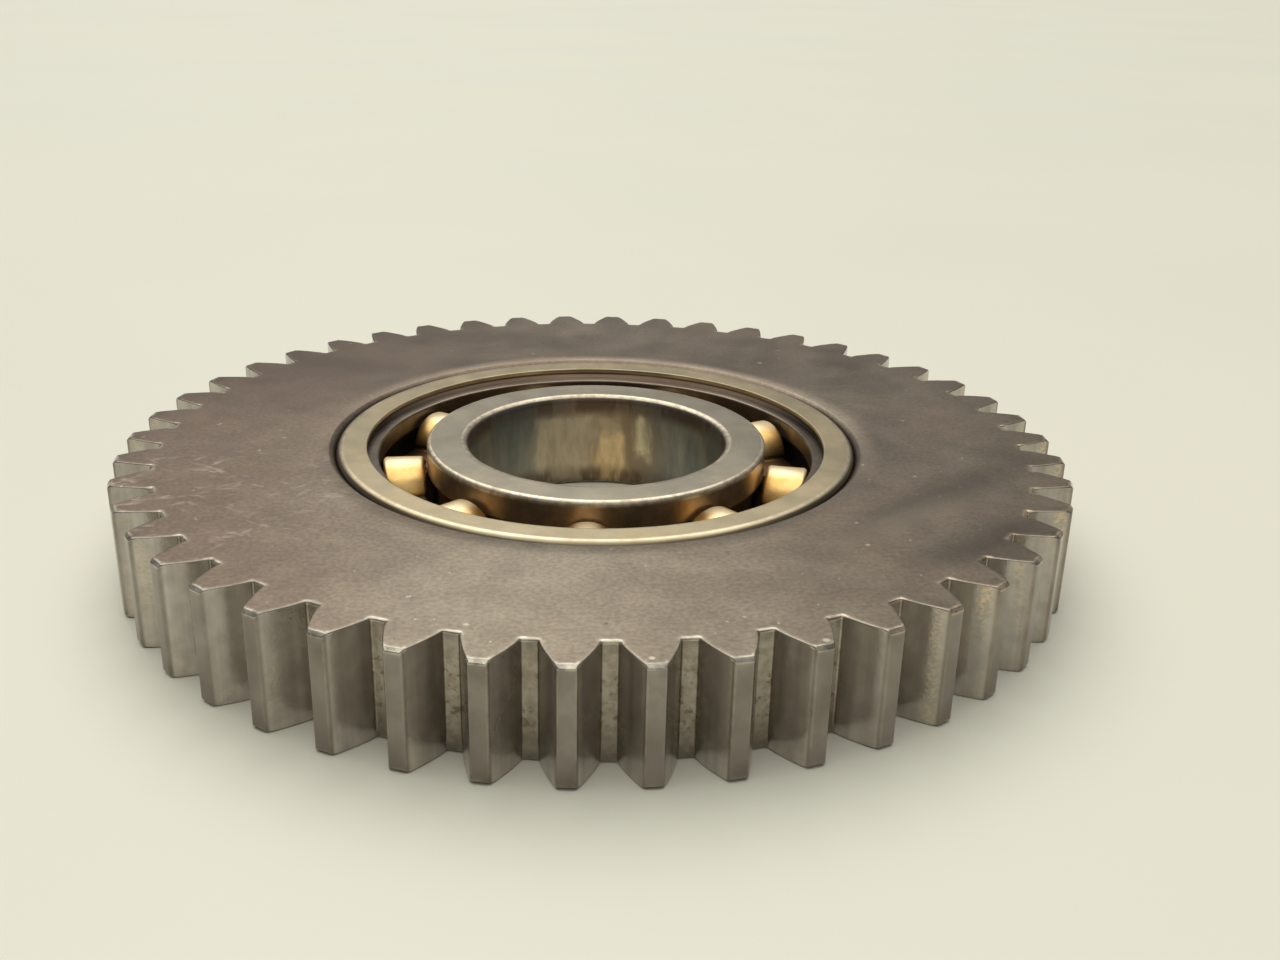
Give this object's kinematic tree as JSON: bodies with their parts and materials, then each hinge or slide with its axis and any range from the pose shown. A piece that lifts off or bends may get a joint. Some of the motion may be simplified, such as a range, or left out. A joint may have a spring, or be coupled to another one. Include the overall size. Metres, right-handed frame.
{
  "type": "idler gear",
  "caption": "Steel spur idler gear with straight involute teeth, turning on an open deep-groove ball bearing pressed into its bore, with a riveted brass ribbon cage.",
  "frame": {"origin": "on the gear's axis, at the lower face of gear and bearing, on which the part rests", "axes": "+Z along the axis, away from the face that rests on the table; +X through the middle of a tooth"},
  "size_m": [0.144, 0.1438, 0.016],
  "materials": {
    "gear_steel": "worn, oily hobbed steel with a brown-grey tone",
    "ring_steel": "ground steel with a thin film of old oil",
    "ball_steel": "polished steel",
    "cage_brass": "pressed sheet brass, smooth"
  },
  "bodies": {
    "gear": {"gear_wheel": "gear_steel", "outer_ring": "ring_steel"},
    "inner_ring": {"inner_ring": "ring_steel"},
    "cage": {"cage_upper": "cage_brass", "cage_lower": "cage_brass", "cage_rivets": "cage_brass"},
    "ball_1": {"ball_1": "ball_steel"},
    "ball_2": {"ball_2": "ball_steel"},
    "ball_3": {"ball_3": "ball_steel"},
    "ball_4": {"ball_4": "ball_steel"},
    "ball_5": {"ball_5": "ball_steel"},
    "ball_6": {"ball_6": "ball_steel"},
    "ball_7": {"ball_7": "ball_steel"},
    "ball_8": {"ball_8": "ball_steel"},
    "ball_9": {"ball_9": "ball_steel"}
  },
  "joints": [
    {"name": "inner_ring_spin", "type": "hinge", "parent": "gear", "child": "inner_ring", "pos_m": [0, 0, 0.008], "axis": [0, 0, 1], "continuous": true},
    {"name": "cage_turn", "type": "hinge", "parent": "gear", "child": "cage", "pos_m": [0, 0, 0.008], "axis": [0, 0, 1], "continuous": true},
    {"name": "ball_1_roll", "type": "hinge", "parent": "cage", "child": "ball_1", "pos_m": [0.02696, 0.01315, 0.008], "axis": [0, 0, 1], "continuous": true},
    {"name": "ball_2_roll", "type": "hinge", "parent": "cage", "child": "ball_2", "pos_m": [0.0122, 0.02741, 0.008], "axis": [0, 0, 1], "continuous": true},
    {"name": "ball_3_roll", "type": "hinge", "parent": "cage", "child": "ball_3", "pos_m": [-0.00827, 0.02884, 0.008], "axis": [0, 0, 1], "continuous": true},
    {"name": "ball_4_roll", "type": "hinge", "parent": "cage", "child": "ball_4", "pos_m": [-0.02487, 0.01678, 0.008], "axis": [0, 0, 1], "continuous": true},
    {"name": "ball_5_roll", "type": "hinge", "parent": "cage", "child": "ball_5", "pos_m": [-0.02984, -0.00314, 0.008], "axis": [0, 0, 1], "continuous": true},
    {"name": "ball_6_roll", "type": "hinge", "parent": "cage", "child": "ball_6", "pos_m": [-0.02084, -0.02158, 0.008], "axis": [0, 0, 1], "continuous": true},
    {"name": "ball_7_roll", "type": "hinge", "parent": "cage", "child": "ball_7", "pos_m": [-0.00209, -0.02993, 0.008], "axis": [0, 0, 1], "continuous": true},
    {"name": "ball_8_roll", "type": "hinge", "parent": "cage", "child": "ball_8", "pos_m": [0.01763, -0.02427, 0.008], "axis": [0, 0, 1], "continuous": true},
    {"name": "ball_9_roll", "type": "hinge", "parent": "cage", "child": "ball_9", "pos_m": [0.02911, -0.00726, 0.008], "axis": [0, 0, 1], "continuous": true}
  ],
  "couplings": [
    {"joint": "cage_turn", "follows": "inner_ring_spin", "ratio": 0.41667},
    {"joint": "ball_1_roll", "follows": "inner_ring_spin", "ratio": -2.9167},
    {"joint": "ball_2_roll", "follows": "inner_ring_spin", "ratio": -2.9167},
    {"joint": "ball_3_roll", "follows": "inner_ring_spin", "ratio": -2.9167},
    {"joint": "ball_4_roll", "follows": "inner_ring_spin", "ratio": -2.9167},
    {"joint": "ball_5_roll", "follows": "inner_ring_spin", "ratio": -2.9167},
    {"joint": "ball_6_roll", "follows": "inner_ring_spin", "ratio": -2.9167},
    {"joint": "ball_7_roll", "follows": "inner_ring_spin", "ratio": -2.9167},
    {"joint": "ball_8_roll", "follows": "inner_ring_spin", "ratio": -2.9167},
    {"joint": "ball_9_roll", "follows": "inner_ring_spin", "ratio": -2.9167}
  ]
}
